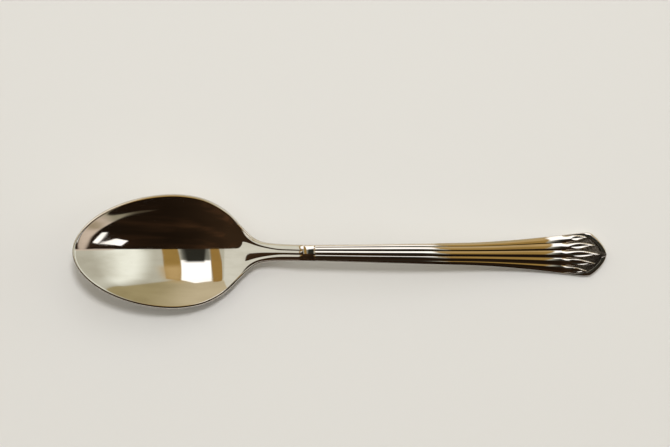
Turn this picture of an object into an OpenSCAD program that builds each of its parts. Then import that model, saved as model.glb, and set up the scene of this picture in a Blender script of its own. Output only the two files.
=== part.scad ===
// Teaspoon, one polished forging: dished bowl, ridged neck, tie band, reeded stem, leaf terminal.
// It lies face up on z = 0, bowl towards -X, centred on its length and its width.
// A place along the spoon is s, counted from the tip of the bowl. Heights are above the table.

/* [Bowl] */
// Length from the tip of the bowl to the start of the neck
bowl_len = 45.2; // [42:0.1:50]
// Greatest width over the rim
bowl_w = 29.2; // [24:0.1:34]
// Length from the tip back to the widest place
bowl_tip_run = 25.1; // [22:0.1:27]
// Run that the shoulders would need to close behind the widest place
shoulder_run = 18.5; // [17:0.1:21]
// Depth of the dish below the rim
bowl_depth = 6; // [5:0.1:9]
// Thickness at the lowest place of the bowl
bowl_floor_t = 1.6; // [1.2:0.1:2.4]
// Width of the rounded rim
rim_w = 0.65; // [0.5:0.05:1]
// Height of the rim at its outer edge
rim_t = 0.7; // [0.6:0.05:1]
// How far the dish starts below the top of the rim
rim_sink = 0.1; // [0:0.05:0.2]
// Angle by which the rim leans, highest at the tip, in degrees
bowl_tilt = 15.5; // [0:0.5:20]
// How far the tip of the rim springs up from that slope
tip_spring = 1.5; // [0:0.1:3]

/* [Neck] */
// Length of the neck
neck_len = 13; // [10:0.1:18]
// Width of the neck
neck_w = 3.8; // [3:0.1:5]
// Angle at which the neck rises to the tie band, in degrees
neck_rise = 22.5; // [14:0.5:28]
// Size of the fillet between the shoulders and the neck
shoulder_fillet = 1.4; // [0.6:0.1:1.6]
// Height of the neck's three ridges
ridge_h = 0.3; // [0.1:0.05:0.5]
// Length over which the ridges sink into the bowl
ridge_fade = 3.6; // [2:0.1:5]
// Length over which the ridges sink under the tie band
ridge_end = 1.3; // [0.8:0.1:2]

/* [Tie band] */
// Length of the band
tie_len = 2.6; // [2:0.1:4]
// How far the band stands above the crown of the stem
tie_h = 0.4; // [0.2:0.05:0.8]

/* [Stem] */
// Length of the stem
stem_len = 63.4; // [50:0.1:80]
// Width that the stem would reach at its far end without the flare
stem_w = 7.1; // [5:0.1:8]
// Height of the top edges where the arch is highest
arch_z = 11.2; // [8:0.1:14]
// Length from the tie band to the highest place of the arch
arch_run = 1; // [0.5:0.1:16]
// Thickness from the top edges to the middle of the back
stem_t = 2; // [1.6:0.1:2.6]
// Height of the upright sides
side_t = 0.9; // [0.7:0.05:1.2]
// Radius that eases every edge
edge_r = 0.25; // [0.15:0.05:0.35]
// Height of the crown at the tie band
crown_h = 0.9; // [0.5:0.05:1.2]
// Height of the reeds at the tie band
reed_h = 0.32; // [0.15:0.01:0.45]
// Height of the reeds at the far end
reed_end_h = 0.42; // [0.2:0.01:0.6]
// Length over which the reeds rise behind the tie band
reed_rise = 1; // [0.5:0.1:2]
// Length of the flare that widens the stem to the terminal
flare_len = 31.3; // [24:0.1:40]

/* [Terminal] */
// Length of the terminal
terminal_len = 11.8; // [11:0.1:15]
// Greatest width of the terminal
terminal_w = 11.3; // [9:0.1:14]
// Thickness at the border
terminal_t = 1.5; // [1.2:0.1:2]
// Height of the crown across the leaves
leaf_crown_h = 0.35; // [0.1:0.05:0.6]
// Length of the pointed nose, from the corners to the point
nose_run = 4.3; // [3.5:0.1:5]
// Length of the near parallel sides before the nose
nose_side_run = 1.7; // [1:0.1:2.5]
// Width of the border round the nose
border_w = 1; // [0.6:0.05:1.3]
// Depth of the sunk ground below the border
ground_sink = 0.45; // [0.2:0.05:0.6]
// Length of the flat back that rests on the table
flat_len = 6.5; // [6:0.1:11]
// Height of the leaves above the sunk ground
leaf_h = 0.8; // [0.5:0.05:1]
// Distance from the point of the spoon to the middle leaf's point
middle_leaf_gap = 1.6; // [1.4:0.05:2]
// Distance from the point of the spoon to the points of the next leaves
side_leaf_gap = 2.75; // [2.4:0.05:3.2]
// Distance from the point of the spoon to the points of the outer leaves
outer_leaf_gap = 4.35; // [4:0.05:5]
// Length over which the leaves narrow to their points
leaf_taper = 5.6; // [4:0.1:6]
// Distance from the point of the spoon to where the middle leaf's hollow starts
hollow_from_gap = 10.4; // [9.5:0.1:10.8]
// Distance from a hollow's end to the point of its leaf
hollow_end_gap = 1.6; // [1:0.1:2.2]
// Depth of the hollows in the leaves
hollow_depth = 0.25; // [0.1:0.05:0.35]

/* [Hidden] */

// Side view: how softly the rim turns up into the neck and the neck into the handle,
// and how long the handle stays high
dip_soft = 3;
crest_soft = 0.8;
fall_power = 1.5;
rest_step = 0.2;

// Places along the spoon
neck_at = bowl_len;
tie_at = neck_at + neck_len;
stem_at = tie_at + tie_len;
terminal_at = stem_at + stem_len;
spoon_len = terminal_at + terminal_len;
arch_at = stem_at + arch_run;
flat_at = spoon_len - flat_len;
nose_at = spoon_len - nose_run;
flare_end_at = nose_at - nose_side_run;
flare_at = flare_end_at - flare_len;

// Heights
rim_slope = tan(bowl_tilt);
neck_slope = tan(neck_rise);
under_depth = bowl_depth + bowl_floor_t + rim_sink - rim_t;

// Shape of the outline
tip_power = 1.9;
shoulder_straight_share = 0.82;
fillet_start_run = 8;
flare_power = 1.8;
nose_power = 0.54;
corner_soft = 0.12;
point_half = 0.12;
nose_border = 1.25 * border_w;
inner_limit_share = 0.97;

// Shape of the dish: how much steeper it is at the rim than at the bottom
dish_steep_share = 0.05;
dish_fade_run = 6;
dish_end_run = 7;
belly_power = 2.4;

// Columns across a section: the rim, then five reeds or leaves
rim_column_shares = [0, 0.3, 0.8, 1];
plain_column_shares = [-0.5, 0, 0.5, 1];
reed_column_shares = [-0.75, -0.4, 0, 0.4, 0.75, 1];
leaf_ranks = [-3, -2, -1, 0, 1, 2, 3];
reeds = [-2, -1, 0, 1, 2];
reed_pitch_share = 0.4;
ridge_fan_share = 0.6;
fan_run = 8;
bowl_round_share = 0.5;
round_power = 2.2;

// Shape of a leaf across its half width: a pointed hollow, then a raised edge that falls to the ground
hollow_w_share = 0.6;
hollow_power = 0.8;
hollow_stagger = 0.55;
least_rim_share = 0.3;
leaf_flank_share = 0.6;
leaf_taper_power = 2.2;
leaf_spread_share = 0.07;
leaf_seam = 0.02;
leaf_point_run = 0.6;
leaf_morph_run = 3;
border_from_run = 2.3;
crowd_share = 0.02;

// Stations along each section
tip_steps = 14;
shoulder_steps = 13;
neck_steps = 10;
tie_steps = 6;
stem_steps = 20;
terminal_steps = 34;
dense_end_share = 0.6;

steel = "Gainsboro";
bright_steel = "WhiteSmoke";

function clamp_share(t) = max(0, min(1, t));
function ease(t) = let (c = clamp_share(t)) c * c * (3 - 2 * c);
function mix(a, b, t) = a + (b - a) * t;
function ramp(s, from, run) = ease((s - from) / run);
function soft_max(a, b, r) = (a + b + sqrt(pow(a - b, 2) + 4 * r * r)) / 2;
function soft_min(a, b, r) = (a + b - sqrt(pow(a - b, 2) + 4 * r * r)) / 2;

// Outline: half width of the blade, of the shank and of the nose, then all of them blended
function shoulder_share(t) =
    let (g = shoulder_straight_share, h = sqrt(1 - g * g))
    t < g ? sqrt(1 - t * t) : h - g / h * (t - g);
function blade_half(s, inset) =
    let (half = bowl_w / 2 - inset, t = (bowl_tip_run - s) / (bowl_tip_run - inset))
    s < bowl_tip_run
        ? half * pow(1 - pow(clamp_share(t), tip_power), 1 / tip_power)
        : half * shoulder_share((s - bowl_tip_run) / (shoulder_run - inset));
function shank_half(s) =
    let (
        straight = mix(neck_w, stem_w, clamp_share((s - tie_at) / (flare_end_at - tie_at))) / 2,
        flare = (terminal_w - stem_w) / 2 * pow(max(0, s - flare_at) / flare_len, flare_power)
    )
    soft_min(straight + flare, terminal_w / 2, corner_soft);
function nose_half(s, inner) =
    (terminal_w / 2 - inner * border_w)
        * pow(max(0, spoon_len - s - inner * nose_border) / nose_run, nose_power);
function edge_w(s) =
    mix(edge_r, border_w, ramp(s, nose_at - border_from_run, border_from_run));
function body_half(s, inner) =
    s < bowl_tip_run
        ? blade_half(s, inner * rim_w)
        : soft_max(blade_half(s, inner * rim_w), shank_half(s) - inner * edge_w(s),
                   shoulder_fillet * ramp(s, bowl_tip_run, fillet_start_run));
function half_w(s, inner) =
    max(point_half, soft_min(body_half(s, inner), nose_half(s, inner), corner_soft));
function inner_half(s) = min(half_w(s, 1), half_w(s, 0) * inner_limit_share);

// Side view: the rim slopes down, the neck rises to the tie band, and the handle comes down to the table
function rounding(a, b, run) = pow(max(0, run - abs(a - b)), 2) / (4 * run);
function rim_line(s) = rim_z + rim_slope * (bowl_tip_run - s);
function neck_line(s) = arch_z - neck_slope * (tie_at - s);
function handle_line(s) =
    mix(arch_z, terminal_t, ease(pow(clamp_share((s - arch_at) / (flat_at - arch_at)), fall_power)));
function dip_line(s) =
    max(rim_line(s), neck_line(s)) + rounding(rim_line(s), neck_line(s), dip_soft);
function edge_z(s) =
    s < bowl_tip_run
        ? rim_line(s) + tip_spring * pow((bowl_tip_run - s) / bowl_tip_run, 2)
        : min(dip_line(s), handle_line(s)) - rounding(dip_line(s), handle_line(s), crest_soft);
function blade_share(s) =
    1 - ramp(s, neck_at - dish_fade_run, dish_fade_run + dish_end_run);
function shank_t(s) = mix(stem_t, terminal_t, ramp(s, arch_at, flat_at - arch_at));
function dish_share(p) = p * (1 + dish_steep_share * (1 - p));
function dish_at(y, half, widest) = dish_share(max(0, half * half - y * y) / (widest * widest));

// Back: the underside of the bowl, then the round back of the shank, then the flat of the terminal
function back_drop(s, y) =
    let (
        half = half_w(s, 0),
        side = mix(side_t, rim_t, blade_share(s)),
        under = under_depth * dish_at(y, half, bowl_w / 2) * blade_share(s),
        belly = (shank_t(s) - side) * ramp(s, bowl_tip_run, neck_at - bowl_tip_run)
    )
    side + under + belly * (1 - pow(abs(y) / half, belly_power));
function back_z(s, y) =
    edge_z(s) - mix(back_drop(s, y), shank_t(s) - (abs(y) < half_w(s, 0) ? 0 : edge_r),
                    ramp(s, flare_at, flat_at - flare_at));

// Height of the rim at the bowl's widest place, so that the bowl's lowest place is on the table
rim_z = max([for (s = [bowl_tip_run : rest_step : neck_at - dish_fade_run])
    back_drop(s, 0) - rim_slope * (bowl_tip_run - s)]);

// Front: dish, crown, ridges, band, reeds
function crown(s) =
    mix(crown_h, leaf_crown_h, ramp(s, stem_at, stem_len)) * (1 - blade_share(s));
function front_z(s, y) = edge_z(s) - blade_share(s)
    * (rim_sink + bowl_depth * dish_at(y, inner_half(s), bowl_w / 2 - rim_w));
function round_share(s) =
    s < neck_at ? mix(bowl_round_share, 1, ramp(s, bowl_tip_run, neck_at - bowl_tip_run))
    : 1 - pow(clamp_share((s - stem_at) / stem_len), round_power);
function even_share(s, u) = mix(u, sin(90 * u), round_share(s));
function fan_share(s) =
    s < neck_at ? ramp(s, neck_at - fan_run, fan_run) : 1 - ramp(s, neck_at, fan_run);
function column_share(s, u) =
    let (
        seam = reed_pitch_share / 2,
        plain = even_share(s, seam),
        fanned = mix(plain, ridge_fan_share, fan_share(s)),
        a = even_share(s, abs(u))
    )
    sign(u) * (abs(u) < seam ? a * fanned / plain : 1 - (1 - a) * (1 - fanned) / (1 - plain));
function half_round(t) = sqrt(max(0, 1 - t * t));
function ridge(u) =
    let (seam = reed_pitch_share / 2, outer = (1 - seam) / 2)
    abs(u) < seam ? half_round(u / seam) : half_round((abs(u) - seam - outer) / outer);
function ridges(s, u) =
    ridge_h * ridge(u) * ramp(s, neck_at - ridge_fade / 2, ridge_fade) * ramp(tie_at, s, ridge_end);
function band(s, u) = tie_h * half_round(2 * (s - tie_at) / tie_len - 1) * cos(60 * u);
function reed_height(s) =
    mix(reed_h, reed_end_h, (s - stem_at) / stem_len) * ramp(s, stem_at, reed_rise);
function relief(s, u, f) =
    s < tie_at ? ridges(s, u)
    : s < stem_at ? band(s, u)
    : reed_height(s) * half_round(f);

// Leaves: where a leaf's middle is, how wide it is, and how high it is at a share of its half width
function leaf_end(k) =
    spoon_len - (k == 0 ? middle_leaf_gap : abs(k) == 1 ? side_leaf_gap : outer_leaf_gap);
function leaf_pitch(s) = reed_pitch_share * (shank_half(s) - edge_r);
function leaf_middle(s, k) =
    leaf_pitch(s) * k * (1 + (abs(k) == 1 ? leaf_spread_share : 0)
        * ramp(s, leaf_end(k) - leaf_taper, leaf_taper));
function leaf_half(s, k) =
    let (t = clamp_share((s - leaf_end(k) + leaf_taper) / leaf_taper))
    max(leaf_seam, (leaf_pitch(s) / 2 - leaf_seam) * (1 - pow(t, leaf_taper_power)));
function hollow_half(s, k) =
    let (
        from = spoon_len - hollow_from_gap + hollow_stagger * abs(k),
        to = leaf_end(k) - hollow_end_gap
    )
    hollow_w_share * pow(sin(180 * clamp_share((s - from) / (to - from))), hollow_power);
function leaf_share(s, k, rank) =
    let (rim = max(least_rim_share, hollow_half(s, k)))
    sign(rank) * [0, rim, mix(rim, 1, leaf_flank_share), 1][abs(rank)];
function leaf_profile(s, k, c) =
    let (w = hollow_half(s, k))
    c < w
        ? 1 - hollow_depth / leaf_h * w / hollow_w_share * (1 - pow(c / w, 2))
        : half_round((c - w) / (1 - w));
function leaf_relief(s, k, c) =
    let (
        leafy = ramp(s, terminal_at, leaf_morph_run),
        height = mix(reed_end_h, leaf_h, leafy),
        point = half_round(1 - clamp_share((leaf_end(k) - s) / leaf_point_run))
    )
    height * point * leaf_profile(s, k, c);
function sink(s) =
    ground_sink * ramp(s, terminal_at, leaf_morph_run)
        * clamp_share(inner_half(s) / border_w);

// A section is a list of [y, height of the front, height of the back] across the spoon
function rim_column(s, side, i) =
    let (
        y = mix(half_w(s, 0), inner_half(s), rim_column_shares[i]),
        drops = [edge_r, 0, 0, rim_sink * blade_share(s) + sink(s)]
    )
    [side * y, edge_z(s) - drops[i], back_z(s, y)];
function reed_column(s, k, f) =
    let (u = reed_pitch_share * (k + f / 2), y = inner_half(s) * column_share(s, u))
    [y, front_z(s, y) + crown(s) * cos(90 * u) + relief(s, u, f), back_z(s, y)];
function leaf_column(s, k, f, rank) =
    let (
        reach = inner_half(s) * (1 - crowd_share * (1 + rank)),
        free = leaf_middle(s, k) + leaf_half(s, k) * f,
        y = sign(free) * min(abs(free), reach)
    )
    [y, edge_z(s) + crown(s) * cos(90 * y / inner_half(s)) - sink(s) + leaf_relief(s, k, abs(f)),
     back_z(s, y)];
function reed_columns(s, shares) =
    [for (k = reeds, f = shares) if (k + f / 2 < 2.4) reed_column(s, k, f)];
function leaf_columns(s) =
    let (n = len(leaf_ranks), middle = (len(reeds) * n - 1) / 2)
    [for (i = [0 : len(reeds) - 1], j = [0 : n - 1])
        leaf_column(s, reeds[i], leaf_share(s, reeds[i], leaf_ranks[j]), middle - abs(i * n + j - middle))];
function section(s, columns) = [
    for (i = [0 : 3]) rim_column(s, -1, i),
    each columns,
    for (i = [3 : -1 : 0]) rim_column(s, 1, i)
];

// Closed skin over a row of sections that all have as many columns
module loft(places, sections) {
    n = len(sections[0]);
    ring = 2 * n;
    last = len(places) - 1;
    points = [
        for (i = [0 : last], j = [0 : ring - 1])
            let (column = sections[i][j < n ? j : ring - 1 - j])
            [places[i] - spoon_len / 2, column[0], j < n ? column[1] : column[2]]
    ];
    skin = [
        for (i = [0 : last - 1], j = [0 : ring - 1])
            let (a = i * ring + j, b = i * ring + (j + 1) % ring)
            each (j % n < (n - 1) / 2
                ? [[a, b, a + ring], [b, b + ring, a + ring]]
                : [[a, b, b + ring], [a, b + ring, a + ring]])
    ];
    end = last * ring;
    caps = [
        for (j = [0 : n - 2]) each [
            [j + 1, j, ring - 1 - j],
            [j + 1, ring - 1 - j, ring - 2 - j],
            [end + j, end + j + 1, end + ring - 1 - j],
            [end + j + 1, end + ring - 2 - j, end + ring - 1 - j]
        ]
    ];
    polyhedron(points = points, faces = concat(skin, caps));
}

function even_places(from, to, steps) = [for (i = [0 : steps]) mix(from, to, i / steps)];
function bowl_places() = concat(
    [for (i = [0 : tip_steps - 1]) bowl_tip_run * (1 - cos(90 * i / tip_steps))],
    even_places(bowl_tip_run, neck_at, shoulder_steps)
);
function terminal_places() = [
    for (i = [0 : terminal_steps])
        let (t = i / terminal_steps)
        terminal_at + terminal_len * mix(t, sin(90 * t), dense_end_share)
];

module plain_part(places, shares) {
    loft(places, [for (s = places) section(s, reed_columns(s, shares))]);
}

module bowl() {
    color(bright_steel) plain_part(bowl_places(), plain_column_shares);
}

module neck() {
    color(steel) plain_part(even_places(neck_at, tie_at, neck_steps), plain_column_shares);
}

module tie_band() {
    color(bright_steel) plain_part(even_places(tie_at, stem_at, tie_steps), plain_column_shares);
}

module stem() {
    color(steel) plain_part(even_places(stem_at, terminal_at, stem_steps), reed_column_shares);
}

module terminal() {
    places = terminal_places();
    color(bright_steel) loft(places, [for (s = places) section(s, leaf_columns(s))]);
}

bowl();
neck();
tie_band();
stem();
terminal();
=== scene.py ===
# Teaspoon in mirror polished stainless steel, face up on a pale studio floor.
# The spoon's sizes are in millimetres, the meshes, floor and lamps in metres. A place along the spoon is counted
# from the bowl's tip.
import math
import bpy
import numpy as np
from mathutils import Matrix, Vector


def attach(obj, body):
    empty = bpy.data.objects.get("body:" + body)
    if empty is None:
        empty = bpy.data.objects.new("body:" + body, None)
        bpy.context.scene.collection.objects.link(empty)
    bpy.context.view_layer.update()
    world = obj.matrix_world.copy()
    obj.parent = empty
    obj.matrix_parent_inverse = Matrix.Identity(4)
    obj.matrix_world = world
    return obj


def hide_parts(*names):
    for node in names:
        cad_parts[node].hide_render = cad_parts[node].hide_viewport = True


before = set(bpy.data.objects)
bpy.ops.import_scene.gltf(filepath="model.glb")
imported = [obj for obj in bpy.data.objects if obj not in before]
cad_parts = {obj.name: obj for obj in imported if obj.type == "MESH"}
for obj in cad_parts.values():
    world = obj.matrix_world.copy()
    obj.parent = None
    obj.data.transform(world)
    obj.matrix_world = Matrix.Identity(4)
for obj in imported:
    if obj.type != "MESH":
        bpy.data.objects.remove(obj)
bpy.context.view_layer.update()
print("frame loaded:", sorted(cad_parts))

mm = 0.001
# An end face spreads less than this along the spoon, in metres
flatEnd = 1e-7


def toLinear(code):
    parts = [int(code[i:i + 2], 16) / 255 for i in (1, 3, 5)]
    return [p / 12.92 if p <= 0.04045 else ((p + 0.055) / 1.055) ** 2.4 for p in parts] + [1.0]


def addNode(tree, kind, settings=None, links=None):
    made = tree.nodes.new(kind)
    for name, value in (settings or {}).items():
        setattr(made, name, value)
    for socket, source in (links or {}).items():
        if isinstance(source, bpy.types.NodeSocket):
            tree.links.new(source, made.inputs[socket])
        else:
            made.inputs[socket].default_value = source
    return made


# Each row is a name, what it does, and the names or numbers that it takes. Later rows use earlier names.
def addFormulas(tree, known, rows):
    for name, job, *terms in rows:
        sources = {i: known[t] if isinstance(t, str) else t for i, t in enumerate(terms)}
        if job in ("LINEAR", "SMOOTHSTEP"):
            made = addNode(tree, "ShaderNodeMapRange", {"interpolation_type": job}, sources)
        else:
            made = addNode(tree, "ShaderNodeMath", {"operation": job}, sources)
        known[name] = made.outputs[0]
    return known


# Sizes: one dictionary for each section of the forging, then one for each form in the terminal's relief
bowl = {"length": 45.2, "width": 29.2, "tipRun": 25.1, "shoulderRun": 18.5, "depth": 6.0, "floor": 1.6,
        "rimWidth": 0.65, "rimHeight": 0.7, "rimSink": 0.1, "rimRadius": 0.6, "tilt": 15.5, "tipSpring": 1.5,
        "steepShare": 0.05, "lipSoftness": 0.004, "lipShare": 0.3, "tipPower": 1.9, "straightShare": 0.82,
        "innerShare": 0.97, "fadeRun": 6.0, "fadeEnd": 7.0, "seatStep": 0.2, "rimColumns": 14, "stations": 176}
neck = {"length": 13.0, "width": 3.8, "rise": 22.5, "dipSoftness": 3.0, "fillet": 1.4, "filletRun": 8.0,
        "ridgeHeight": 0.15, "ridgeGrowth": 2.6, "ridgeLead": 2.4, "ridgeFade": 3.6, "ridgeEnd": 1.3,
        "fanShare": 0.6, "fanRun": 8.0, "stations": 70}
tieBand = {"length": 2.6, "height": 0.12, "wrap": math.pi / 3, "stations": 36}
stem = {"length": 63.4, "width": 7.1, "archHeight": 11.2, "archRun": 1.0, "crestSoftness": 0.4, "crestLead": 0.8,
        "fallPower": 1.5, "thickness": 2.0, "side": 0.9, "edgeRadius": 0.15, "crown": 0.34,
        "reeds": 5, "reedHeight": 0.1, "reedHeightEnd": 0.13, "reedRise": 0.4, "sideFade": 0.5,
        "roundShare": 0.6, "roundPower": 2.2, "flareRun": 31.3, "flarePower": 1.8, "bellyPower": 2.4,
        "stations": 264, "columnsPerReed": 24, "edgeColumns": 9}
terminal = {"length": 11.8, "width": 11.3, "thickness": 1.5, "crown": 0.5, "noseRun": 4.3, "noseSide": 1.7,
            "nosePower": 0.54, "noseHalf": 0.12, "border": 1.0, "borderAhead": 1.25, "borderRun": 2.3,
            "bevel": 0.7, "bevelDrop": 0.22, "flatLength": 6.5, "softness": 0.12, "morphRun": 3.0,
            "stations": 236, "stationShare": 0.6, "columns": 160, "borderColumns": 16}
leaves = {"height": 0.8, "gaps": [1.6, 2.75, 4.35], "taper": 5.6, "taperPower": 2.2, "spread": 0.07, "seam": 0.02,
          "pointRun": 0.6, "flankFall": 0.14, "flankPower": 9, "sideRun": 0.06, "joinRun": 0.8}
hollows = {"start": 10.4, "gap": 1.6, "stagger": 0.55, "depth": 0.13, "share": 0.58, "power": 0.8, "lean": 1.5}
veins = {"pitch": 0.42, "depth": 0.06, "slant": 0.8, "innerShare": 0.45, "innerFade": 0.15, "outerFade": 0.1,
         "start": 5.2, "run": 2.2}
ground = {"sink": 0.45, "sinkShare": 0.82, "start": 1.2, "run": 2.4, "bareShare": 0.74, "bareFade": 0.08,
          "clearHeight": 0.22}

neckAt = bowl["length"]
tieAt = neckAt + neck["length"]
stemAt = tieAt + tieBand["length"]
terminalAt = stemAt + stem["length"]
spoonLength = terminalAt + terminal["length"]
archAt = stemAt + stem["archRun"]
flatAt = spoonLength - terminal["flatLength"]
noseAt = spoonLength - terminal["noseRun"]
flareEndAt = noseAt - terminal["noseSide"]
flareAt = flareEndAt - stem["flareRun"]
rimSlope = math.tan(math.radians(bowl["tilt"]))
neckSlope = math.tan(math.radians(neck["rise"]))


def ease(t):
    c = np.clip(t, 0, 1)
    return c * c * (3 - 2 * c)


def mix(a, b, t):
    return a + (b - a) * t


def ramp(s, start, run):
    return ease((s - start) / run)


def softMax(a, b, r):
    return (a + b + np.sqrt((a - b) ** 2 + 4 * r * r)) / 2


def softMin(a, b, r):
    return (a + b - np.sqrt((a - b) ** 2 + 4 * r * r)) / 2


def bladeHalf(s, inset):
    half = bowl["width"] / 2 - inset
    g = bowl["straightShare"]
    h = math.sqrt(1 - g * g)
    tip = np.clip((bowl["tipRun"] - s) / (bowl["tipRun"] - inset), 0, 1)
    t = (s - bowl["tipRun"]) / (bowl["shoulderRun"] - inset)
    shoulder = np.where(t < g, np.sqrt(np.maximum(0, 1 - t * t)), h - g / h * (t - g))
    return half * np.where(s < bowl["tipRun"], (1 - tip ** bowl["tipPower"]) ** (1 / bowl["tipPower"]), shoulder)


def shankHalf(s):
    straight = mix(neck["width"], stem["width"], np.clip((s - tieAt) / (flareEndAt - tieAt), 0, 1)) / 2
    flare = (np.maximum(0, s - flareAt) / stem["flareRun"]) ** stem["flarePower"]
    return softMin(straight + (terminal["width"] - stem["width"]) / 2 * flare, terminal["width"] / 2,
                   terminal["softness"])


def halfWidth(s, inner=0):
    edge = mix(stem["edgeRadius"], terminal["border"], ramp(s, noseAt - terminal["borderRun"], terminal["borderRun"]))
    blade = bladeHalf(s, inner * bowl["rimWidth"])
    fillet = neck["fillet"] * ramp(s, bowl["tipRun"], neck["filletRun"])
    body = np.where(s < bowl["tipRun"], blade, softMax(blade, shankHalf(s) - inner * edge, fillet))
    room = np.maximum(0, spoonLength - s - inner * terminal["borderAhead"] * terminal["border"])
    room = room / terminal["noseRun"]
    nose = (terminal["width"] / 2 - inner * terminal["border"]) * room ** terminal["nosePower"]
    return np.maximum(terminal["noseHalf"], softMin(body, nose, terminal["softness"]))


def innerHalf(s):
    return np.minimum(halfWidth(s, 1), halfWidth(s) * bowl["innerShare"])


def bladeShare(s):
    return 1 - ramp(s, neckAt - bowl["fadeRun"], bowl["fadeRun"] + bowl["fadeEnd"])


def dish(p):
    return p * (1 + bowl["steepShare"] * (1 - p))


def thickness(s):
    return mix(stem["thickness"], terminal["thickness"], ramp(s, archAt, flatAt - archAt))


# How far the back lies below the top edges: the hollow bowl's underside, then the shank's round belly
def backDrop(s, y):
    half = halfWidth(s)
    blade = bladeShare(s)
    side = mix(stem["side"], bowl["rimHeight"], blade)
    depth = bowl["depth"] + bowl["floor"] + bowl["rimSink"] - bowl["rimHeight"]
    under = depth * dish(np.maximum(0, half ** 2 - y * y) / (bowl["width"] / 2) ** 2)
    belly = (thickness(s) - side) * ramp(s, bowl["tipRun"], neckAt - bowl["tipRun"])
    return side + under * blade + belly * (1 - (np.abs(y) / half) ** stem["bellyPower"])


# The rim is as high at the bowl's widest place as lets the bowl's lowest place touch the floor
deepPlaces = np.arange(bowl["tipRun"], neckAt - bowl["fadeRun"], bowl["seatStep"])
rimLevel = np.max(backDrop(deepPlaces, 0) - rimSlope * (bowl["tipRun"] - deepPlaces))


def rounding(a, b, run):
    return np.maximum(0, run - np.abs(a - b)) ** 2 / (4 * run)


# The rim slopes down from the tip, the neck rises to the tie band, the handle comes down to the floor
def edgeHeight(s):
    rim = rimLevel + rimSlope * (bowl["tipRun"] - s)
    spring = bowl["tipSpring"] * (np.maximum(0, bowl["tipRun"] - s) / bowl["tipRun"]) ** 2
    rise = stem["archHeight"] - neckSlope * (tieAt - stem["crestLead"] - s)
    fall = mix(stem["archHeight"], terminal["thickness"],
               ease(np.clip((s - archAt) / (flatAt - archAt), 0, 1) ** stem["fallPower"]))
    dip = np.maximum(rim, rise) + rounding(rim, rise, neck["dipSoftness"])
    crest = np.minimum(dip, fall) - rounding(dip, fall, stem["crestSoftness"])
    return np.where(s < bowl["tipRun"], rim + spring, crest)


def cornerDrop(s, y, radius):
    c = np.clip(1 - (halfWidth(s) - np.abs(y)) / radius, 0, 1)
    return radius * (1 - np.sqrt(1 - c * c))


def topRadius(s):
    return mix(stem["edgeRadius"], bowl["rimRadius"], bladeShare(s))


def backHeight(s, y):
    below = mix(backDrop(s, y), thickness(s), ramp(s, flareAt, flatAt - flareAt))
    return edgeHeight(s) - below + cornerDrop(s, y, stem["edgeRadius"])


def frontHeight(s, y):
    widest = bowl["width"] / 2 - bowl["rimWidth"]
    p = (innerHalf(s) ** 2 - y * y) / widest ** 2
    soft = (p + np.sqrt(p * p + 4 * bowl["lipSoftness"] ** 2)) / 2
    hollow = bowl["depth"] * dish(soft) + bowl["rimSink"] * ease(p / bowl["lipShare"])
    return edgeHeight(s) - bladeShare(s) * hollow


def columnShare(s, u):
    seam = 1 / stem["reeds"]
    roundShare = stem["roundShare"] * (1 - np.clip((s - stemAt) / stem["length"], 0, 1) ** stem["roundPower"])
    fan = np.where(s < neckAt, ramp(s, neckAt - neck["fanRun"], neck["fanRun"]), 1 - ramp(s, neckAt, neck["fanRun"]))
    size = np.abs(u)
    even = mix(size, np.sin(size * math.pi / 2), roundShare)
    plain = mix(seam, math.sin(seam * math.pi / 2), roundShare)
    fanned = mix(plain, neck["fanShare"], fan)
    return np.sign(u) * np.where(size < seam, even * fanned / plain, 1 - (1 - even) * (1 - fanned) / (1 - plain))


def crownHeight(s):
    return mix(stem["crown"], terminal["crown"], ramp(s, stemAt, stem["length"])) * (1 - bladeShare(s))


def reliefHeight(s, u):
    seam = 1 / stem["reeds"]
    outer = (1 - seam) / 2
    size = np.abs(u)
    f = np.where(size < seam, size / seam, (size - seam - outer) / outer)
    ridge = np.maximum(0, 1 - f * f) * ramp(s, neckAt - neck["ridgeLead"] - neck["ridgeFade"] / 2, neck["ridgeFade"])
    ridge = ridge * ramp(tieAt - s, 0, neck["ridgeEnd"]) * (1 - stem["sideFade"] * size)
    ridge = ridge * neck["ridgeHeight"] * np.minimum(innerHalf(s) / innerHalf(tieAt), neck["ridgeGrowth"])
    t = np.clip(2 * (s - tieAt) / tieBand["length"] - 1, -1, 1)
    band = tieBand["height"] * (1 - t * t) * np.cos(u * tieBand["wrap"])
    return np.where(s < tieAt, ridge, band)


def makeObject(name, points, faces, material):
    mesh = bpy.data.meshes.new(name)
    mesh.from_pydata(points, [], faces)
    mesh.update()
    piece = bpy.data.objects.new(name, mesh)
    bpy.context.scene.collection.objects.link(piece)
    return finishPiece(piece, material)


# Smooth all over, with a crisp line only round the flat ends that meet the next section
def finishPiece(piece, material):
    mesh = piece.data
    count = len(mesh.polygons)
    ends = np.zeros(len(mesh.vertices) * 3)
    mesh.vertices.foreach_get("co", ends)
    xs = ends.reshape(-1, 3)[:, 0]
    starts = np.zeros(count, int)
    totals = np.zeros(count, int)
    corners = np.zeros(len(mesh.loops), int)
    edges = np.zeros(len(mesh.loops), int)
    mesh.polygons.foreach_get("loop_start", starts)
    mesh.polygons.foreach_get("loop_total", totals)
    mesh.loops.foreach_get("vertex_index", corners)
    mesh.loops.foreach_get("edge_index", edges)
    spread = np.maximum.reduceat(xs[corners], starts) - np.minimum.reduceat(xs[corners], starts)
    isEnd = spread < flatEnd
    endLoops = np.bincount(edges, weights=np.repeat(isEnd, totals), minlength=len(mesh.edges))
    mesh.polygons.foreach_set("use_smooth", np.ones(count, bool))
    sharp = mesh.attributes.new("sharp_edge", "BOOLEAN", "EDGE")
    sharp.data.foreach_set("value", endLoops == 1)
    if material.name not in mesh.materials:
        mesh.materials.append(material)
    mesh.update()
    return piece


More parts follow.
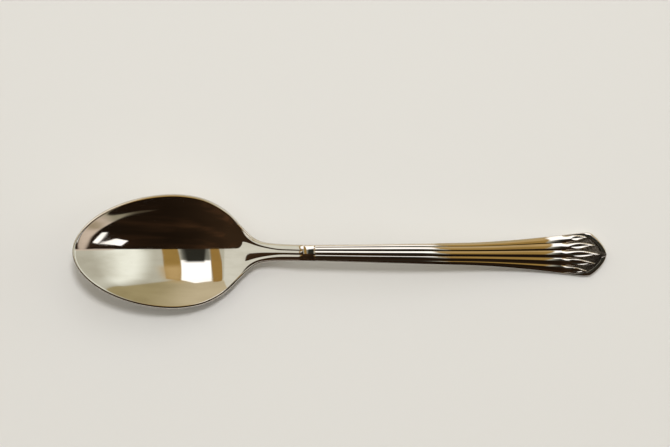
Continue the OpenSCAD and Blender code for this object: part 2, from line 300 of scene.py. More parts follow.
# Closed skin over rows of sections: the front columns, then the back columns the other way
def makeSection(name, places, y, front, back, material, slot):
    rows, columns = y.shape
    ring = 2 * columns
    x = (places - spoonLength / 2)[:, None] + 0 * y
    points = np.concatenate([np.stack([x, y, front], -1), np.stack([x, y, back], -1)[:, ::-1]], 1).reshape(-1, 3) * mm
    a = (np.arange(rows - 1)[:, None] * ring + np.arange(ring)[None, :]).ravel()
    b = (np.arange(rows - 1)[:, None] * ring + (np.arange(ring)[None, :] + 1) % ring).ravel()
    skin = np.stack([a, b, b + ring, a + ring], -1)
    j = np.arange(columns - 1)
    low = np.stack([j + 1, j, ring - 1 - j, ring - 2 - j], -1)
    high = np.stack([j, j + 1, ring - 2 - j, ring - 1 - j], -1) + (rows - 1) * ring
    return makeObject(name, points.tolist(), np.concatenate([skin, low, high]).tolist(), material)


def plainColumns(places):
    s = places[:, None]
    edge = np.linspace(0, 1, bowl["rimColumns"] + 1)[None, :-1]
    u = np.linspace(-1, 1, stem["reeds"] * stem["columnsPerReed"] + 1)[None, :]
    rim = mix(halfWidth(s), innerHalf(s), edge)
    middle = innerHalf(s) * columnShare(s, u)
    y = np.concatenate([-rim, middle, rim[:, ::-1]], 1)
    zeros = np.zeros((len(places), edge.shape[1]))
    raised = np.concatenate([zeros, crownHeight(s) * np.cos(u * math.pi / 2) + reliefHeight(s, u), zeros], 1)
    front = frontHeight(s, y) + raised - cornerDrop(s, y, topRadius(s))
    return y, front, backHeight(s, y)


# Mirror polished stainless steel: struck, then buffed with ever finer compound, which leaves a mirror
# with faint wipe marks along the spoon and hairlines from use
def makePolishedSteel():
    steel = {"colour": "#DCD6CE", "shade": "#CFC8BE", "roughness": 0.035, "wiped": 0.075,
             "wipeLength": 14.0, "wipeWidth": 2.6, "wipeScaleZ": 200, "wipeRange": (0.4, 0.75),
             "shadeRange": (0.3, 0.8), "hairWidth": 0.22, "hairLength": 9.0, "hairScaleZ": 300, "hairTurn": 0.12,
             "hairRange": (0.62, 0.72), "hairRoughness": 0.05, "hairDepth": 0.0009,
             "waveSize": 9.0, "waveDepth": 0.004}
    material = bpy.data.materials.new("mirrorPolishedStainlessSteel")
    material.use_nodes = True
    tree = material.node_tree
    tree.nodes.clear()
    place = addNode(tree, "ShaderNodeTexCoord").outputs["Object"]
    along = addNode(tree, "ShaderNodeMapping", None, {
        "Vector": place,
        "Scale": (1 / (steel["wipeLength"] * mm), 1 / (steel["wipeWidth"] * mm), steel["wipeScaleZ"])})
    wipes = addNode(tree, "ShaderNodeTexNoise", None, {"Vector": along.outputs[0], "Scale": 1, "Detail": 3})
    hairs = addNode(tree, "ShaderNodeMapping", None, {
        "Vector": place, "Rotation": (0, 0, steel["hairTurn"]),
        "Scale": (1 / (steel["hairLength"] * mm), 1 / (steel["hairWidth"] * mm), steel["hairScaleZ"])})
    hairNoise = addNode(tree, "ShaderNodeTexNoise", None, {"Vector": hairs.outputs[0], "Scale": 1, "Detail": 2})
    waves = addNode(tree, "ShaderNodeTexNoise", None, {
        "Vector": place, "Scale": 1 / (steel["waveSize"] * mm), "Detail": 1})
    values = addFormulas(tree, {"wipe": wipes.outputs["Fac"], "hair": hairNoise.outputs["Fac"]}, [
        ("rough", "SMOOTHSTEP", "wipe", *steel["wipeRange"], steel["roughness"], steel["wiped"]),
        ("fine", "SMOOTHSTEP", "hair", *steel["hairRange"], 0, steel["hairRoughness"]),
        ("roughness", "ADD", "rough", "fine"),
        ("tone", "SMOOTHSTEP", "wipe", *steel["shadeRange"], 0, 1),
    ])
    colour = addNode(tree, "ShaderNodeMix", {"data_type": "RGBA"}, {
        0: values["tone"], 6: toLinear(steel["colour"]), 7: toLinear(steel["shade"])})
    hairBump = addNode(tree, "ShaderNodeBump", None, {
        "Strength": 1, "Distance": steel["hairDepth"] * mm, "Height": hairNoise.outputs["Fac"]})
    waveBump = addNode(tree, "ShaderNodeBump", None, {
        "Strength": 1, "Distance": steel["waveDepth"] * mm, "Height": waves.outputs["Fac"],
        "Normal": hairBump.outputs[0]})
    shader = addNode(tree, "ShaderNodeBsdfPrincipled", None, {
        "Base Color": colour.outputs[2], "Metallic": 1.0, "Roughness": values["roughness"],
        "Normal": waveBump.outputs[0]})
    addNode(tree, "ShaderNodeOutputMaterial", None, {"Surface": shader.outputs[0]})
    return material


# The same steel where the die left relief: polished on the leaves, while the sunk ground between them is finely
# stippled and matt, and its colour is made much darker than the leaves'
def makeReliefSteel():
    # ground is the darker colour given to the whole sunk ground; pitShade adds painted shade inside each stipple pit
    steel = {"colour": "#DCD6CE", "ground": "#48413B", "roughness": 0.05, "matt": 0.42,
             "stipple": 0.26, "stippleDepth": 0.05, "pitRange": (0.1, 0.75), "pitShade": -0.35, "groundShade": 1.15,
             "waveSize": 5.0, "waveDepth": 0.003}
    material = bpy.data.materials.new("struckStainlessSteel")
    material.use_nodes = True
    tree = material.node_tree
    tree.nodes.clear()
    place = addNode(tree, "ShaderNodeTexCoord").outputs["Object"]
    bare = addNode(tree, "ShaderNodeAttribute", {"attribute_name": "ground"}).outputs["Fac"]
    dots = addNode(tree, "ShaderNodeTexVoronoi", None, {"Vector": place, "Scale": 1 / (steel["stipple"] * mm)})
    waves = addNode(tree, "ShaderNodeTexNoise", None, {
        "Vector": place, "Scale": 1 / (steel["waveSize"] * mm), "Detail": 1})
    values = addFormulas(tree, {"ground": bare, "dot": dots.outputs["Distance"]}, [
        ("pit", "SMOOTHSTEP", "dot", *steel["pitRange"], 0, 1),
        ("roughness", "LINEAR", "ground", 0, 1, steel["roughness"], steel["matt"]),
        ("height", "MULTIPLY", "pit", "ground"),
        # painted shade: each stipple pit is darker towards its lowest middle, where the bump is deepest
        ("shade", "MULTIPLY_ADD", "pit", steel["pitShade"], steel["groundShade"]),
        ("dark", "MULTIPLY", "shade", "ground"),
    ])
    colour = addNode(tree, "ShaderNodeMix", {"data_type": "RGBA"}, {
        0: values["dark"], 6: toLinear(steel["colour"]), 7: toLinear(steel["ground"])})
    dotBump = addNode(tree, "ShaderNodeBump", None, {
        "Strength": 1, "Distance": steel["stippleDepth"] * mm, "Height": values["height"]})
    waveBump = addNode(tree, "ShaderNodeBump", None, {
        "Strength": 1, "Distance": steel["waveDepth"] * mm, "Height": waves.outputs["Fac"],
        "Normal": dotBump.outputs[0]})
    shader = addNode(tree, "ShaderNodeBsdfPrincipled", None, {
        "Base Color": colour.outputs[2], "Metallic": 1.0, "Roughness": values["roughness"],
        "Normal": waveBump.outputs[0]})
    addNode(tree, "ShaderNodeOutputMaterial", None, {"Surface": shader.outputs[0]})
    return material


polishedSteel = makePolishedSteel()
reliefSteel = makeReliefSteel()

# Bowl, neck and tie band
tip = bowl["tipRun"] * (1 - np.cos(np.linspace(0, math.pi / 2, bowl["stations"] // 2 + 1)[:-1]))
bowlPlaces = np.concatenate([tip, np.linspace(bowl["tipRun"], neckAt, bowl["stations"] // 2)])
bowlPiece = makeSection("dishedBowl", bowlPlaces, *plainColumns(bowlPlaces), polishedSteel, "polished_steel")
neckPlaces = np.linspace(neckAt, tieAt, neck["stations"])
neckPiece = makeSection("ridgedNeck", neckPlaces, *plainColumns(neckPlaces), polishedSteel, "polished_steel")
tiePlaces = tieAt + tieBand["length"] * (1 - np.cos(np.linspace(0, math.pi, tieBand["stations"]))) / 2
tiePiece = makeSection("tieBand", tiePlaces, *plainColumns(tiePlaces), polishedSteel, "polished_steel")
print("bowl, neck and tie band made:", [len(p.data.polygons) for p in (bowlPiece, neckPiece, tiePiece)])


# The stem is a box of small faces that Geometry Nodes bends into the arched, reeded handle
def makeStemTree(material):
    zone = stem["reeds"] * stem["columnsPerReed"]
    zoneShare = zone / (zone + 2 * stem["edgeColumns"])
    blade = bowl["width"] / 2
    steep = bowl["straightShare"] / math.sqrt(1 - bowl["straightShare"] ** 2)
    inputs = {
        "Start": stemAt, "Length": stem["length"], "Half Spoon": spoonLength / 2,
        "Neck Half Width": neck["width"] / 2, "Stem Half Width": stem["width"] / 2,
        "Terminal Half Width": terminal["width"] / 2,
        "Taper Start": tieAt, "Taper End": flareEndAt, "Flare Start": flareAt,
        "Flare Width": (terminal["width"] - stem["width"]) / 2, "Flare Power": stem["flarePower"],
        "Shoulder Start": blade * (math.sqrt(1 - bowl["straightShare"] ** 2) + steep * bowl["straightShare"])
        + blade * steep * bowl["tipRun"] / bowl["shoulderRun"],
        "Shoulder Slope": -blade * steep / bowl["shoulderRun"], "Fillet": neck["fillet"],
        "Arch Place": archAt, "Rest Place": flatAt,
        "Arch Height": stem["archHeight"], "Arch Fall": stem["archHeight"] - terminal["thickness"],
        "Fall Power": stem["fallPower"], "Thickness": stem["thickness"], "End Thickness": terminal["thickness"],
        "Side Height": stem["side"], "Belly Power": stem["bellyPower"], "Edge Radius": stem["edgeRadius"],
        "Crown": stem["crown"], "End Crown": terminal["crown"], "Reed Height": stem["reedHeight"],
        "End Reed Height": stem["reedHeightEnd"], "Reed Full Place": stemAt + stem["reedRise"],
        "Round Power": stem["roundPower"], "Round Share": stem["roundShare"],
        "Side Fade": stem["sideFade"], "Reeds": stem["reeds"], "Columns Per Reed": stem["columnsPerReed"],
        "Stations": stem["stations"]}
    tree = bpy.data.node_groups.new("reededStem", "GeometryNodeTree")
    sockets = {}
    for name, value in inputs.items():
        kind = "NodeSocketInt" if isinstance(value, int) else "NodeSocketFloat"
        sockets[name] = tree.interface.new_socket(name=name, in_out="INPUT", socket_type=kind)
        sockets[name].default_value = value
    tree.interface.new_socket(name="Geometry", in_out="OUTPUT", socket_type="NodeSocketGeometry")
    known = {s.name: s for s in addNode(tree, "NodeGroupInput").outputs if s.name}
    spot = addNode(tree, "GeometryNodeInputPosition").outputs[0]
    axes = addNode(tree, "ShaderNodeSeparateXYZ", None, {0: spot}).outputs
    known.update({"x": axes[0], "y": axes[1], "z": axes[2]})
    addFormulas(tree, known, [
        ("along", "ADD", "x", 0.5),
        ("place", "MULTIPLY_ADD", "along", "Length", "Start"),
        # height of the top edges
        ("falling", "LINEAR", "place", "Arch Place", "Rest Place", 0, 1),
        ("fallBent", "POWER", "falling", "Fall Power"),
        ("fallen", "SMOOTHSTEP", "fallBent", 0, 1, 0, "Arch Fall"),
        ("edge", "SUBTRACT", "Arch Height", "fallen"),
        # half width: the taper and the flare, eased into the terminal and into the shoulders
        ("straight", "LINEAR", "place", "Taper Start", "Taper End", "Neck Half Width", "Stem Half Width"),
        ("flaring", "LINEAR", "place", "Flare Start", "Taper End", 0, 1),
        ("flareBent", "POWER", "flaring", "Flare Power"),
        ("wide", "MULTIPLY_ADD", "flareBent", "Flare Width", "straight"),
        ("short", "SUBTRACT", "wide", "Terminal Half Width"),
        ("shortSquare", "MULTIPLY_ADD", "short", "short", 4 * terminal["softness"] ** 2),
        ("shortRoot", "SQRT", "shortSquare"),
        ("wideSum", "ADD", "wide", "Terminal Half Width"),
        ("shankTwice", "SUBTRACT", "wideSum", "shortRoot"),
        ("shank", "MULTIPLY", "shankTwice", 0.5),
        ("blade", "MULTIPLY_ADD", "place", "Shoulder Slope", "Shoulder Start"),
        ("over", "SUBTRACT", "shank", "blade"),
        ("filletTwice", "MULTIPLY", "Fillet", 2),
        ("filletSquare", "MULTIPLY", "filletTwice", "filletTwice"),
        ("overSquare", "MULTIPLY_ADD", "over", "over", "filletSquare"),
        ("overRoot", "SQRT", "overSquare"),
        ("bladeSum", "ADD", "shank", "blade"),
        ("halfTwice", "ADD", "bladeSum", "overRoot"),
        ("half", "MULTIPLY", "halfTwice", 0.5),
        ("inner", "SUBTRACT", "half", "Edge Radius"),
        # across: the reeds, then the eased edges
        ("sideways", "MULTIPLY", "y", 2),
        ("side", "SIGN", "sideways"),
        ("reach", "ABSOLUTE", "sideways"),
        ("u", "LINEAR", "reach", 0, zoneShare, 0, 1),
        ("rim", "LINEAR", "reach", zoneShare, 1, 0, "Edge Radius"),
        ("quarter", "MULTIPLY", "u", math.pi / 2),
        ("sine", "SINE", "quarter"),
        ("cosine", "COSINE", "quarter"),
        ("alongBent", "POWER", "along", "Round Power"),
        ("roundLeft", "SUBTRACT", 1, "alongBent"),
        ("roundShare", "MULTIPLY", "roundLeft", "Round Share"),
        ("sineOver", "SUBTRACT", "sine", "u"),
        ("even", "MULTIPLY_ADD", "sineOver", "roundShare", "u"),
        ("width", "MULTIPLY_ADD", "even", "inner", "rim"),
        ("across", "MULTIPLY", "width", "side"),
        ("gap", "SUBTRACT", "half", "width"),
        ("turn", "LINEAR", "gap", 0, "Edge Radius", 1, 0),
        ("turnSquare", "MULTIPLY", "turn", "turn"),
        ("turnRoom", "SUBTRACT", 1, "turnSquare"),
        ("turnRoot", "SQRT", "turnRoom"),
        ("turnDrop", "SUBTRACT", 1, "turnRoot"),
        ("corner", "MULTIPLY", "turnDrop", "Edge Radius"),
        # front: crown and reeds
        ("crown", "SMOOTHSTEP", "along", 0, 1, "Crown", "End Crown"),
        ("crowned", "MULTIPLY_ADD", "crown", "cosine", "edge"),
        ("halfReeds", "MULTIPLY", "Reeds", 0.5),
        ("reedPlace", "MULTIPLY", "u", "halfReeds"),
        ("reedMiddle", "ROUND", "reedPlace"),
        ("offset", "SUBTRACT", "reedPlace", "reedMiddle"),
        ("offsetSquare", "MULTIPLY", "offset", "offset"),
        ("reedRoom", "MULTIPLY_ADD", "offsetSquare", -4, 1),
        ("reedRoomUp", "MAXIMUM", "reedRoom", 0),
        ("fade", "MULTIPLY", "roundLeft", "Side Fade"),
        ("faded", "MULTIPLY", "fade", "u"),
        ("kept", "SUBTRACT", 1, "faded"),
        ("bow", "MULTIPLY", "reedRoomUp", "kept"),
        ("reedTall", "LINEAR", "along", 0, 1, "Reed Height", "End Reed Height"),
        ("reedGrown", "SMOOTHSTEP", "place", "Start", "Reed Full Place", 0, 1),
        ("reed", "MULTIPLY", "reedTall", "reedGrown"),
        ("reeded", "MULTIPLY_ADD", "reed", "bow", "crowned"),
        ("front", "SUBTRACT", "reeded", "corner"),
        # back: round, then flat towards the terminal
        ("thick", "SMOOTHSTEP", "place", "Arch Place", "Rest Place", "Thickness", "End Thickness"),
        ("belly", "SUBTRACT", "thick", "Side Height"),
        ("backShare", "DIVIDE", "width", "half"),
        ("backBent", "POWER", "backShare", "Belly Power"),
        ("backRoom", "SUBTRACT", 1, "backBent"),
        ("bellied", "MULTIPLY_ADD", "belly", "backRoom", "Side Height"),
        ("flatness", "SMOOTHSTEP", "place", "Flare Start", "Rest Place", 0, 1),
        ("thicker", "SUBTRACT", "thick", "bellied"),
        ("below", "MULTIPLY_ADD", "thicker", "flatness", "bellied"),
        ("backEdge", "SUBTRACT", "edge", "below"),
        ("back", "ADD", "backEdge", "corner"),
        ("top", "LINEAR", "z", -0.5, 0.5, 0, 1),
        ("body", "SUBTRACT", "front", "back"),
        ("height", "MULTIPLY_ADD", "body", "top", "back"),
        ("centred", "SUBTRACT", "place", "Half Spoon"),
        ("xOut", "MULTIPLY", "centred", mm),
        ("yOut", "MULTIPLY", "across", mm),
        ("zOut", "MULTIPLY", "height", mm),
        ("reedColumns", "MULTIPLY", "Reeds", "Columns Per Reed"),
        ("columns", "ADD", "reedColumns", 2 * stem["edgeColumns"] + 1),
    ])
    box = addNode(tree, "GeometryNodeMeshCube", None, {
        "Size": (1, 1, 1), "Vertices X": known["Stations"], "Vertices Y": known["columns"], "Vertices Z": 3})
    target = addNode(tree, "ShaderNodeCombineXYZ", None, {0: known["xOut"], 1: known["yOut"], 2: known["zOut"]})
    bent = addNode(tree, "GeometryNodeSetPosition", None, {
        "Geometry": box.outputs["Mesh"], "Position": target.outputs[0]})
    whole = addNode(tree, "GeometryNodeRealizeInstances", None, {0: bent.outputs[0]})
    coated = addNode(tree, "GeometryNodeSetMaterial", None, {"Geometry": whole.outputs[0], "Material": material})
    addNode(tree, "NodeGroupOutput", None, {0: coated.outputs[0]})
    return tree, inputs, sockets


# Runs a tree on an object and keeps the result as a plain mesh
def applyTree(piece, tree, inputs, sockets):
    modifier = piece.modifiers.new(tree.name, "NODES")
    modifier.node_group = tree
    for name, value in inputs.items():
        modifier[sockets[name].identifier] = value
    bpy.context.view_layer.update()
    graph = bpy.context.evaluated_depsgraph_get()
    made = bpy.data.meshes.new_from_object(piece.evaluated_get(graph))
    piece.modifiers.remove(modifier)
    old = piece.data
    piece.data = made
    bpy.data.meshes.remove(old)
    made.name = piece.name
    return piece


stemPiece = bpy.data.objects.new("reededStem", bpy.data.meshes.new("reededStemSeed"))
bpy.context.scene.collection.objects.link(stemPiece)
finishPiece(applyTree(stemPiece, *makeStemTree(polishedSteel)), polishedSteel)
print("stem made:", len(stemPiece.data.polygons))


# The terminal: five leaves, each with a pointed hollow, on a sunk ground inside a border
def leafHeights(s, y):
    relief = np.zeros(np.broadcast(s, y).shape)
    vein = np.zeros_like(relief)
    phase = np.zeros_like(relief)
    leafy = ramp(s, terminalAt, terminal["morphRun"])
    pitch = 2 / stem["reeds"] * (shankHalf(s) - stem["edgeRadius"])
    least = 1e-6
    for k in (-2, -1, 0, 1, 2):
        end = spoonLength - leaves["gaps"][abs(k)]
        spread = leaves["spread"] if abs(k) == 1 else 0
        middle = pitch * k * (1 + spread * ramp(s, end - leaves["taper"], leaves["taper"]))
        t = np.clip((s - end + leaves["taper"]) / leaves["taper"], 0, 1)
        half = np.maximum(leaves["seam"], (pitch / 2 - leaves["seam"]) * (1 - t ** leaves["taperPower"]))
        c = np.abs(y - middle) / half
        hollowStart = spoonLength - hollows["start"] + hollows["stagger"] * abs(k)
        opened = np.clip((s - hollowStart) / (end - hollows["gap"] - hollowStart), 0, 1)
        w = hollows["share"] * np.sin(np.pi * opened) ** hollows["power"]
        sunk = hollows["depth"] / leaves["height"] * np.sin(np.pi * opened ** hollows["lean"])
        out = np.clip(c - w, 0, 1) / (1 - w)
        leafFlank = 1 - leaves["flankFall"] * out - (1 - leaves["flankFall"]) * out ** leaves["flankPower"]
        flank = mix(np.maximum(0, 1 - out * out), leafFlank, leafy)
        profile = np.where(c < w, 1 - sunk * (1 - (c / np.maximum(w, least)) ** 2), flank)
        point = np.sqrt(np.maximum(0, 1 - (1 - np.clip((end - s) / leaves["pointRun"], 0, 1)) ** 2))
        height = mix(stem["reedHeightEnd"], leaves["height"], leafy)
        mine = np.where(c < 1, height * point * profile, 0)
        onLeaf = mine > relief
        band = ease((c - veins["innerShare"]) / veins["innerFade"]) * ease((1 - c) / veins["outerFade"])
        band = band * ramp(s, end - veins["start"], veins["run"])
        vein = np.where(onLeaf, band * point, vein)
        phase = np.where(onLeaf, s - end + veins["slant"] * np.sign(y - middle) * (y - middle), phase)
        relief = np.maximum(relief, mine)
    return relief, vein, phase


def makeTerminal():
    t = np.linspace(0, 1, terminal["stations"])
    places = terminalAt + terminal["length"] * mix(t, np.sin(t * math.pi / 2), terminal["stationShare"])
    s = places[:, None]
    edge = np.linspace(0, 1, terminal["borderColumns"] + 1)[None, :-1]
    u = np.linspace(-1, 1, terminal["columns"] + 1)[None, :]
    rim = mix(halfWidth(s), innerHalf(s), edge)
    y = np.concatenate([-rim, innerHalf(s) * u, rim[:, ::-1]], 1)
    inside = np.concatenate([edge, 1 + 0 * u, edge[:, ::-1]], 1) + 0 * s
    sink = ground["sink"] * ramp(s, terminalAt, terminal["morphRun"])
    sink = sink * np.clip(innerHalf(s) / terminal["border"], 0, 1)
    sink = sink * ease((inside - ground["sinkShare"]) / (1 - ground["sinkShare"]))
    crown = crownHeight(s) * np.cos(np.clip(np.abs(y) / innerHalf(s), 0, 1) * math.pi / 2)
    relief, vein, phase = leafHeights(s, y)
    keep = np.where(inside >= 1, 1, 0) * ease((innerHalf(s) - np.abs(y)) / leaves["sideRun"])
    atSeam = 1 - ramp(s, terminalAt, leaves["joinRun"])
    relief = relief * mix(keep, inside >= 1, atSeam)
    bevel = np.clip(1 - (halfWidth(s) - np.abs(y)) / terminal["bevel"], 0, 1) ** 2 * terminal["bevelDrop"]
    bevel = bevel * ramp(s, noseAt - terminal["borderRun"], terminal["borderRun"])
    front = edgeHeight(s) + crown - sink + relief - bevel - cornerDrop(s, y, topRadius(s))
    piece = makeSection("leafTerminal", places, y, front, backHeight(s, y), reliefSteel, "relief_steel")
    bare = ramp(s, terminalAt + ground["start"], ground["run"]) * ease(1 - relief / ground["clearHeight"])
    bare = bare * ease((inside - ground["bareShare"]) / ground["bareFade"])
    rows = {"ground": bare, "veinShare": vein * keep, "veinPlace": phase}
    for name, values in rows.items():
        attribute = piece.data.attributes.new(name, "FLOAT", "POINT")
        both = np.concatenate([values, np.zeros_like(values)], 1)
        attribute.data.foreach_set("value", both.ravel().astype(np.float32))
    return piece


# Fine slanted veins along the leaf edges, cut into the leaves by Geometry Nodes
def makeVeinTree(material):
    inputs = {"Vein Pitch": veins["pitch"], "Vein Depth": veins["depth"]}
    tree = bpy.data.node_groups.new("leafVeins", "GeometryNodeTree")
    sockets = {}
    tree.interface.new_socket(name="Geometry", in_out="INPUT", socket_type="NodeSocketGeometry")
    for name, value in inputs.items():
        sockets[name] = tree.interface.new_socket(name=name, in_out="INPUT", socket_type="NodeSocketFloat")
        sockets[name].default_value = value
    tree.interface.new_socket(name="Geometry", in_out="OUTPUT", socket_type="NodeSocketGeometry")
    known = {s.name: s for s in addNode(tree, "NodeGroupInput").outputs if s.name}
    for name in ("veinShare", "veinPlace"):
        stored = addNode(tree, "GeometryNodeInputNamedAttribute", {"data_type": "FLOAT"}, {"Name": name})
        known[name] = stored.outputs[0]
    addFormulas(tree, known, [
        ("turns", "DIVIDE", "veinPlace", "Vein Pitch"),
        ("angle", "MULTIPLY", "turns", 2 * math.pi),
        ("swing", "SINE", "angle"),
        ("cut", "SUBTRACT", "swing", 1),
        ("depth", "MULTIPLY", "cut", "Vein Depth"),
        ("masked", "MULTIPLY", "depth", "veinShare"),
        ("zOut", "MULTIPLY", "masked", mm / 2),
    ])
    offset = addNode(tree, "ShaderNodeCombineXYZ", None, {2: known["zOut"]})
    cut = addNode(tree, "GeometryNodeSetPosition", None, {"Geometry": known["Geometry"], "Offset": offset.outputs[0]})
    whole = addNode(tree, "GeometryNodeRealizeInstances", None, {0: cut.outputs[0]})
    coated = addNode(tree, "GeometryNodeSetMaterial", None, {"Geometry": whole.outputs[0], "Material": material})
    addNode(tree, "NodeGroupOutput", None, {0: coated.outputs[0]})
    return tree, inputs, sockets


terminalPiece = applyTree(makeTerminal(), *makeVeinTree(reliefSteel))
print("terminal made:", len(terminalPiece.data.polygons))

for piece, node in ((bowlPiece, "bowl"), (neckPiece, "neck"), (tiePiece, "tie_band"), (stemPiece, "stem"),
                    (terminalPiece, "terminal")):
    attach(piece, "root")
    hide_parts(node)

# Floor: a plain pale painted board
floorLook = {"size": 4.0, "colour": "#DFDEDC", "roughness": 0.75}
half = floorLook["size"] / 2
floorMesh = bpy.data.meshes.new("floor")
floorMesh.from_pydata([(-half, -half, 0), (half, -half, 0), (half, half, 0), (-half, half, 0)], [], [(0, 1, 2, 3)])
floor = bpy.data.objects.new("floor", floorMesh)
bpy.context.scene.collection.objects.link(floor)
floorMaterial = bpy.data.materials.new("paintedBoard")
floorMaterial.use_nodes = True
floorShader = floorMaterial.node_tree.nodes["Principled BSDF"]
floorShader.inputs["Base Color"].default_value = toLinear(floorLook["colour"])
floorShader.inputs["Roughness"].default_value = floorLook["roughness"]
floorMesh.materials.append(floorMaterial)

# The room that the steel mirrors: pale walls, a window with a blind and tan curtains, and an unlit half with two
# lit cards. A corner is given by the mirror that shows it to a camera above: the x and y of that mirror's normal.
# Each patch has straight sides and no corner that points inwards. One without a colour takes a shaded one.
# The lift is just over 1, so that the direction straight down divides by no zero.
room = {"wall": "#D2D2C3", "unlit": "#20170F", "unlitFar": "#3A2B1D", "streak": "#543A26", "lowWall": "#B4A87F",
        "lowWallFar": "#DACDAC", "streakLength": 0.5, "streakWidth": 0.13, "streakTurn": 0.3,
        "farRange": (0.3, -0.4), "lowRange": (0.36, 0.02), "strandRange": (0.45, 0.75), "nearWarmth": 0.3,
        "lift": 1.0001}
patches = [
    # name, colour, strength, softness, corners
    ("wallGlow", "#F4F9F0", 1.3, 0.05, [(0.57, -0.2), (0.40, -0.2), (0.39, 0.37), (0.50, 0.40)]),
    ("wallFar", "#F0F1E6", 1.0, 0.03, [(-0.24, -0.2), (-0.24, 0.60), (-0.95, 0.60), (-0.95, -0.2)]),
    ("lowWall", "", 1.0, 0.012, [(0.95, 0.50), (0.454, 0.420), (0.389, 0.371), (0.295, 0.343), (0.10, 0.34),
                                 (-0.26, 0.413), (-0.45, 0.62), (-0.45, 0.95), (0.95, 0.95)]),
    ("curtainNear", "#AD8D4E", 1.0, 0.006, [(0.325, -0.10), (0.305, 0.182), (0.272, 0.36), (0.16, 0.40),
                                           (0.188, 0.189), (0.212, -0.10)]),
    ("curtainLight", "#D2B47C", 1.0, 0.045, [(0.318, 0.20), (0.275, 0.37), (0.16, 0.41), (0.175, 0.20)]),
    ("curtainFar", "#AD8A4B", 1.0, 0.006, [(-0.066, -0.10), (-0.083, 0.15), (-0.112, 0.42), (-0.23, 0.41),
                                          (-0.19, 0.149), (-0.176, -0.10)]),
    ("window", "#FFFFFF", 1.7, 0.006, [(0.192, 0.12), (0.168, 0.385), (0.077, 0.43), (-0.098, 0.41),
                                       (-0.078, 0.12)]),
    ("blind", "#8D8F86", 1.0, 0.02, [(0.208, -0.10), (0.19, 0.11), (-0.078, 0.13), (-0.06, -0.10)]),
    ("blindSlats", "#33332D", 1.0, 0.025, [(0.195, -0.10), (0.165, 0.15), (-0.015, 0.15), (-0.035, -0.10)]),
    ("unlit", "", 1.0, 0.006, [(0.95, -0.052), (0.33, -0.036), (-0.45, -0.053), (-0.95, -0.066), (-0.95, -0.95),
                               (0.95, -0.95)]),
    ("paleWall", "#E6D6C6", 1.0, 0.01, [(0.95, -0.03), (0.52, -0.03), (0.42, -0.35), (0.47, -0.95), (0.95, -0.95)]),
    ("paleShade", "#B3A58C", 1.0, 0.03, [(0.60, -0.30), (0.62, -0.41), (0.52, -0.41), (0.53, -0.31)]),
    ("paleStreak", "#A9A48F", 1.0, 0.035, [(0.50, -0.38), (0.50, -0.95), (0.30, -0.95), (0.30, -0.38)]),
    ("paleEnd", "#5A5142", 1.0, 0.045, [(0.41, -0.38), (0.41, -0.95), (0.25, -0.95), (0.25, -0.38)]),
    ("unlitCorner", "", 1.0, 0.006, [(0.49, -0.470), (0.27, -0.536), (0.0, -0.62), (0.0, -0.95), (0.60, -0.95)]),
    ("unlitRoom", "", 1.0, 0.009, [(0.612, -0.045), (0.603, -0.112), (0.588, -0.199), (0.570, -0.250),
                                   (0.547, -0.299), (0.516, -0.345), (0.478, -0.394), (0.444, -0.434),
                                   (0.393, -0.479), (0.339, -0.508), (0.250, -0.560), (-0.10, -0.70),
                                   (-0.10, -0.050)]),
    ("cardLong", "#FFFFFF", 1.7, 0.003, [(0.582, -0.134), (0.563, -0.113), (0.521, -0.256), (0.537, -0.252)]),
    ("cardShort", "#FFFFFF", 1.7, 0.003, [(0.560, -0.116), (0.504, -0.178), (0.464, -0.150), (0.493, -0.084)]),
]


# How far a mirror direction is inside a patch with straight sides, from 0 to 1 over its soft border
def insidePatch(tree, slopes, corners, softness):
    inside = None
    middle = np.mean(corners, 0)
    for a, b in zip(corners, corners[1:] + corners[:1]):
        across = np.array([a[1] - b[1], b[0] - a[0]]) / math.dist(a, b)
        if across @ (middle - a) < 0:
            across = -across
        depth = addNode(tree, "ShaderNodeVectorMath", {"operation": "DOT_PRODUCT"}, {
            0: slopes, 1: (across[0], across[1], 0)}).outputs["Value"]
        start = float(across @ np.array(a))
        known = addFormulas(tree, {"depth": depth, "inside": inside}, [
            ("part", "SMOOTHSTEP", "depth", start - softness, start + softness, 0, 1)])
        inside = known["part"] if inside is None else addFormulas(tree, known, [
            ("both", "MULTIPLY", "inside", "part")])["both"]
    return inside


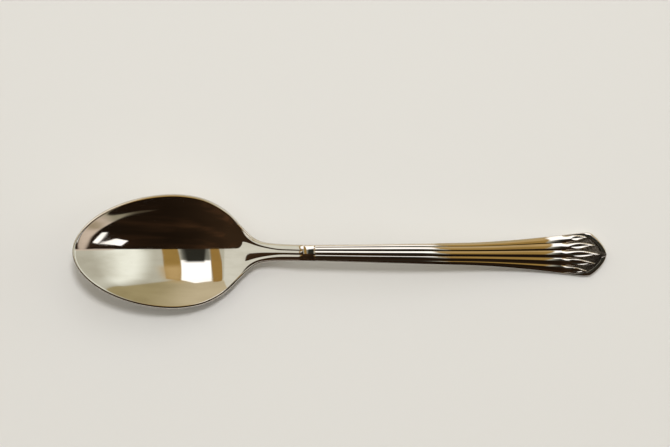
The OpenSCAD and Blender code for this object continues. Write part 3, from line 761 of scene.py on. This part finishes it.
def makeRoom():
    world = bpy.data.worlds.new("studioRoom")
    bpy.context.scene.world = world
    world.use_nodes = True
    tree = world.node_tree
    tree.nodes.clear()
    direction = addNode(tree, "ShaderNodeTexCoord").outputs["Generated"]
    axes = addNode(tree, "ShaderNodeSeparateXYZ", None, {0: direction}).outputs
    known = addFormulas(tree, {"x": axes[0], "y": axes[1], "z": axes[2]}, [
        ("lifted", "ADD", "z", room["lift"]),
        ("doubled", "MULTIPLY", "lifted", 2),
        ("scale", "SQRT", "doubled"),
        ("slopeX", "DIVIDE", "x", "scale"),
        ("slopeY", "DIVIDE", "y", "scale"),
    ])
    slopes = addNode(tree, "ShaderNodeCombineXYZ", None, {0: known["slopeX"], 1: known["slopeY"]}).outputs[0]
    stretched = addNode(tree, "ShaderNodeMapping", None, {
        "Vector": slopes, "Scale": (1 / room["streakLength"], 1 / room["streakWidth"], 1),
        "Rotation": (0, 0, room["streakTurn"])})
    grain = addNode(tree, "ShaderNodeTexNoise", None, {"Vector": stretched.outputs[0], "Scale": 1, "Detail": 3})
    known["grain"] = grain.outputs["Fac"]
    addFormulas(tree, known, [
        ("far", "SMOOTHSTEP", "slopeX", *room["farRange"], 0, 1),
        ("low", "SMOOTHSTEP", "slopeX", *room["lowRange"], 0, 1),
        ("warmth", "MULTIPLY_ADD", "far", 1 - room["nearWarmth"], room["nearWarmth"]),
        ("strand", "SMOOTHSTEP", "grain", *room["strandRange"], 0, 1),
        ("streak", "MULTIPLY", "strand", "warmth"),
    ])
    dim = addNode(tree, "ShaderNodeMix", {"data_type": "RGBA"}, {
        0: known["far"], 6: toLinear(room["unlit"]), 7: toLinear(room["unlitFar"])}).outputs[2]
    unlit = addNode(tree, "ShaderNodeMix", {"data_type": "RGBA"}, {
        0: known["streak"], 6: dim, 7: toLinear(room["streak"])}).outputs[2]
    lowWall = addNode(tree, "ShaderNodeMix", {"data_type": "RGBA"}, {
        0: known["low"], 6: toLinear(room["lowWall"]), 7: toLinear(room["lowWallFar"])}).outputs[2]
    colour = toLinear(room["wall"])
    for name, code, strength, softness, corners in patches:
        own = lowWall if name == "lowWall" else unlit
        tint = [c * strength for c in toLinear(code)[:3]] + [1] if code else own
        colour = addNode(tree, "ShaderNodeMix", {"data_type": "RGBA"}, {
            0: insidePatch(tree, slopes, corners, softness), 6: colour, 7: tint}).outputs[2]
    glow = addNode(tree, "ShaderNodeBackground", None, {"Color": colour, "Strength": 1})
    addNode(tree, "ShaderNodeOutputWorld", None, {"Surface": glow.outputs[0]})


makeRoom()

# A soft lamp beyond the spoon throws the shadow to the near side, and a wide one overhead fills it
lamps = [
    {"name": "keyLamp", "azimuth": 88, "elevation": 76, "distance": 0.9, "size": 0.12, "power": 3.7},
    {"name": "fillLamp", "azimuth": 0, "elevation": 90, "distance": 1.1, "size": 1.7, "power": 2.5},
]
for lamp in lamps:
    lampData = bpy.data.lights.new(lamp["name"], "AREA")
    lampData.shape = "DISK"
    lampData.size = lamp["size"]
    lampData.energy = lamp["power"]
    lampObject = bpy.data.objects.new(lamp["name"], lampData)
    bpy.context.scene.collection.objects.link(lampObject)
    turn, lift = math.radians(lamp["azimuth"]), math.radians(lamp["elevation"])
    lampObject.location = lamp["distance"] * Vector((
        math.cos(lift) * math.cos(turn), math.cos(lift) * math.sin(turn), math.sin(lift)))
    lampObject.rotation_euler = lampObject.location.to_track_quat("Z", "Y").to_euler()
    lampObject.visible_glossy = False

# Camera: straight above, and far enough away that its view of the steel hardly changes along the spoon
camera = {"aim": (-1.869, 7.337), "distance": 800.0, "leanX": 0.0, "leanY": 1.0, "roll": -0.503,
          "lens": 166.95, "sensor": 36, "clipStart": 10}
lean = Vector((math.sin(math.radians(camera["leanX"])), math.sin(math.radians(camera["leanY"])), 0))
lean.z = math.sqrt(1 - lean.x ** 2 - lean.y ** 2)
roll = math.radians(camera["roll"])
right = Vector((math.sin(roll), math.cos(roll), 0)).cross(lean).normalized()
upward = lean.cross(right)
cameraData = bpy.data.cameras.new("overheadCamera")
cameraData.lens = camera["lens"]
cameraData.sensor_width = camera["sensor"]
cameraData.clip_start = camera["clipStart"] * mm
cameraObject = bpy.data.objects.new("overheadCamera", cameraData)
bpy.context.scene.collection.objects.link(cameraObject)
spot = (Vector((camera["aim"][0], camera["aim"][1], 0)) + camera["distance"] * lean) * mm
cameraObject.matrix_world = Matrix.Translation(spot) @ Matrix((right, upward, lean)).transposed().to_4x4()
bpy.context.scene.camera = cameraObject
bpy.context.scene.view_settings.view_transform = "Standard"
print("room, lamps and camera set")
